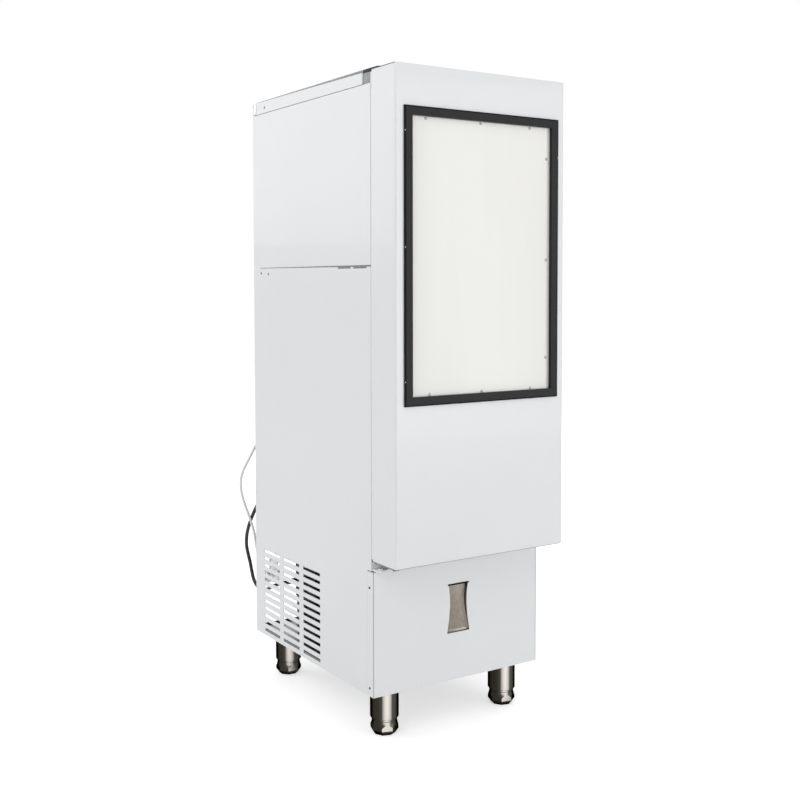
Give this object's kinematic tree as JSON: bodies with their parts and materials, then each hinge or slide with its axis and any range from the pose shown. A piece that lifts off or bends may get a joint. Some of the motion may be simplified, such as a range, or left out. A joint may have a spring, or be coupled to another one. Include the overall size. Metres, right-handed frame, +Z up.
{
  "type": "water dispenser with ice maker",
  "caption": "Tall white free-standing water dispenser and ice maker with a hinged window door, a drawer below it, a louvred machine bay and adjustable steel legs.",
  "frame": {"origin": "on the floor under the middle of the cabinet", "axes": "+Z up, -Y out of the door's front, +X to the right seen from the front"},
  "size_m": [0.4216, 0.7503, 1.286],
  "materials": {
    "white_enamel": "smooth white enamel, slightly cool",
    "galvanised": "galvanised sheet with a faint spangle",
    "stainless": "brushed stainless steel",
    "black_frame": "dark grey moulded frame with a fine grain",
    "lit_panel": "glossy warm-white acrylic",
    "liner_plastic": "white formed liner",
    "foam": "rigid insulating foam",
    "seal_rubber": "white flexible seal",
    "black_rubber": "black cable sheath",
    "black_plastic": "black moulding",
    "black_steel": "black painted steel",
    "copper": "bare copper tube",
    "tinned": "tinned copper grid",
    "coil_black": "black coated condenser",
    "clear_plastic": "translucent plastic",
    "hose_white": "white water tube"
  },
  "bodies": {
    "cabinet": {"lower_left_panel": "white_enamel", "lower_right_panel": "white_enamel", "upper_left_panel": "white_enamel", "upper_right_panel": "white_enamel", "top_cover": "white_enamel", "lower_hinge_bracket": "white_enamel", "base_pan": "galvanised", "front_frame": "galvanised", "lower_rear_panel": "galvanised", "upper_rear_panel": "galvanised", "fan_shroud": "galvanised", "left_runner": "galvanised", "right_runner": "galvanised", "drip_tray": "stainless", "leg_front_left": "stainless", "leg_front_right": "stainless", "leg_rear_left": "stainless", "leg_rear_right": "stainless", "bin_liner": "liner_plastic", "chamber_liner": "liner_plastic", "water_trough": "liner_plastic", "bin_insulation": "foam", "chamber_insulation": "foam", "mains_lead": "black_rubber", "mains_coil": "black_rubber", "mains_plug": "black_rubber", "water_pump": "black_plastic", "control_fascia": "black_plastic", "tap_body": "black_plastic", "terminal_box": "black_plastic", "cord_gland": "black_plastic", "compressor": "black_steel", "fan_motor": "black_steel", "upper_hinge_bracket": "black_steel", "refrigerant_lines": "copper", "discharge_pipe": "copper", "evaporator": "tinned", "condenser": "coil_black", "spray_pipe": "clear_plastic", "inlet_valve": "clear_plastic", "water_tube": "hose_white"},
    "door": {"door_shell": "white_enamel", "door_core": "foam", "door_liner": "liner_plastic", "door_gasket": "seal_rubber", "window_frame": "black_frame", "window_panel": "lit_panel", "light_board": "liner_plastic"},
    "drawer": {"drawer_front": "white_enamel", "drawer_box": "galvanised", "drawer_pull": "stainless", "water_tub": "clear_plastic"},
    "fan": {"fan_blade": "black_plastic"},
    "curtain": {"splash_curtain": "clear_plastic"},
    "tap_paddle": {"tap_lever": "black_plastic"},
    "rocker": {"rocker_switch": "black_rubber"},
    "front_left_foot": {"foot_front_left": "stainless"},
    "front_right_foot": {"foot_front_right": "stainless"},
    "rear_left_foot": {"foot_rear_left": "stainless"},
    "rear_right_foot": {"foot_rear_right": "stainless"}
  },
  "joints": [
    {"name": "door_hinge", "type": "hinge", "parent": "cabinet", "child": "door", "pos_m": [-0.191, -0.224, 0.357], "axis": [0, 0, 1], "range_deg": [-110, 0]},
    {"name": "drawer_slide", "type": "slide", "parent": "cabinet", "child": "drawer", "axis": [0, -1, 0], "range_m": [0, 0.15]},
    {"name": "fan_spin", "type": "hinge", "parent": "cabinet", "child": "fan", "pos_m": [-0.062, 0.1523, 0.2058], "axis": [0, 1, 0], "continuous": true},
    {"name": "curtain_hinge", "type": "hinge", "parent": "cabinet", "child": "curtain", "pos_m": [0, -0.062, 1.17], "axis": [1, 0, 0], "range_deg": [-45, 0]},
    {"name": "tap_lever_hinge", "type": "hinge", "parent": "cabinet", "child": "tap_paddle", "pos_m": [0, -0.2385, 0.545], "axis": [1, 0, 0], "range_deg": [0, 18], "stiffness_Nm_per_rad": 0.3},
    {"name": "rocker_hinge", "type": "hinge", "parent": "cabinet", "child": "rocker", "pos_m": [0.11, -0.2012, 1.22], "axis": [1, 0, 0], "range_deg": [0, 14]},
    {"name": "front_left_foot_screw", "type": "slide", "parent": "cabinet", "child": "front_left_foot", "axis": [0, 0, -1], "range_m": [0, 0.02]},
    {"name": "front_right_foot_screw", "type": "slide", "parent": "cabinet", "child": "front_right_foot", "axis": [0, 0, -1], "range_m": [0, 0.02]},
    {"name": "rear_left_foot_screw", "type": "slide", "parent": "cabinet", "child": "rear_left_foot", "axis": [0, 0, -1], "range_m": [0, 0.02]},
    {"name": "rear_right_foot_screw", "type": "slide", "parent": "cabinet", "child": "rear_right_foot", "axis": [0, 0, -1], "range_m": [0, 0.02]}
  ]
}
